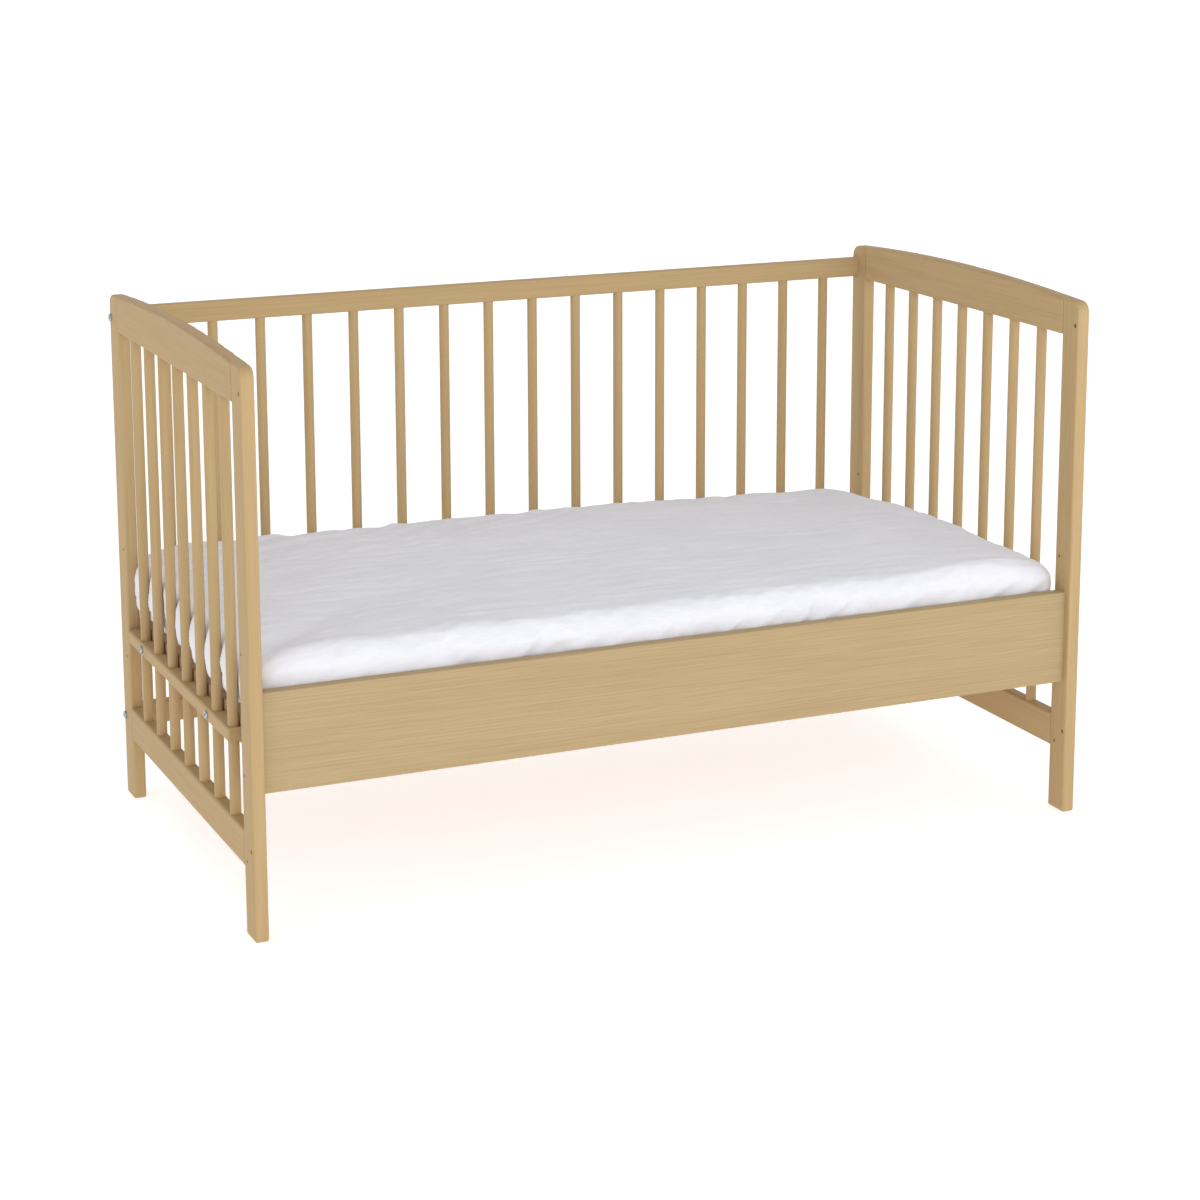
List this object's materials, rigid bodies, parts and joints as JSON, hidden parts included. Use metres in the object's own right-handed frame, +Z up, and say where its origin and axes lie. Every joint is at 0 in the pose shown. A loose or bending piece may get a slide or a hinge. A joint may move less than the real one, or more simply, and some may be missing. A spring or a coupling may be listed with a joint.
{
  "type": "baby crib",
  "caption": "Wooden crib with arched slatted end panels, a slatted back side, a low front board, a clamped height-adjustable slatted base and a sheeted mattress.",
  "frame": {"origin": "centre of the footprint, on the floor", "axes": "+X along the crib, +Y towards the slatted back side, -Y the open front with the low board, +Z up"},
  "size_m": [1.2544, 0.657, 0.7659],
  "materials": {
    "beech_panel": "clear satin lacquer",
    "beech_bar": "clear satin lacquer",
    "board_wood": "satin, visible long grain",
    "base_wood": "plain sanded",
    "dowel_wood": "fluted, raw",
    "zinc_steel": "bright zinc plated",
    "sheet_cotton": "matt crinkled cotton"
  },
  "bodies": {
    "frame": {"left_rear_post": "beech_panel", "left_front_post": "beech_panel", "left_top_rail": "beech_panel", "left_bottom_rail": "beech_panel", "left_bar_1": "beech_bar", "left_bar_2": "beech_bar", "left_bar_3": "beech_bar", "left_bar_4": "beech_bar", "left_bar_5": "beech_bar", "left_bar_6": "beech_bar", "left_bar_7": "beech_bar", "right_rear_post": "beech_panel", "right_front_post": "beech_panel", "right_top_rail": "beech_panel", "right_bottom_rail": "beech_panel", "right_bar_1": "beech_bar", "right_bar_2": "beech_bar", "right_bar_3": "beech_bar", "right_bar_4": "beech_bar", "right_bar_5": "beech_bar", "right_bar_6": "beech_bar", "right_bar_7": "beech_bar", "back_top_rail": "beech_panel", "back_bottom_rail": "beech_panel", "back_bar_01": "beech_bar", "back_bar_02": "beech_bar", "back_bar_03": "beech_bar", "back_bar_04": "beech_bar", "back_bar_05": "beech_bar", "back_bar_06": "beech_bar", "back_bar_07": "beech_bar", "back_bar_08": "beech_bar", "back_bar_09": "beech_bar", "back_bar_10": "beech_bar", "back_bar_11": "beech_bar", "back_bar_12": "beech_bar", "back_bar_13": "beech_bar", "back_bar_14": "beech_bar", "back_bar_15": "beech_bar", "back_bar_16": "beech_bar", "front_board": "board_wood", "back_side_bolts": "zinc_steel", "back_side_barrel_nuts": "zinc_steel", "back_side_dowels": "dowel_wood", "end_panel_dowels": "dowel_wood", "front_board_dowels": "dowel_wood", "front_board_cam_locks": "zinc_steel", "front_board_cam_bolts": "zinc_steel"},
    "base": {"left_clamp_batten": "beech_panel", "right_clamp_batten": "beech_panel", "left_base_rail": "base_wood", "right_base_rail": "base_wood", "front_base_rail": "base_wood", "back_base_rail": "base_wood", "base_slats": "base_wood", "base_slat_screws": "zinc_steel", "clamp_bolts": "zinc_steel", "clamp_barrel_nuts": "zinc_steel"},
    "mattress": {"mattress": "sheet_cotton"}
  },
  "joints": [
    {"name": "base_height", "type": "slide", "parent": "frame", "child": "base", "axis": [0, 0, 1], "range_m": [-0.095, 0.15]},
    {"name": "mattress_lift", "type": "slide", "parent": "base", "child": "mattress", "axis": [0, 0, 1], "range_m": [0, 0.53]}
  ]
}
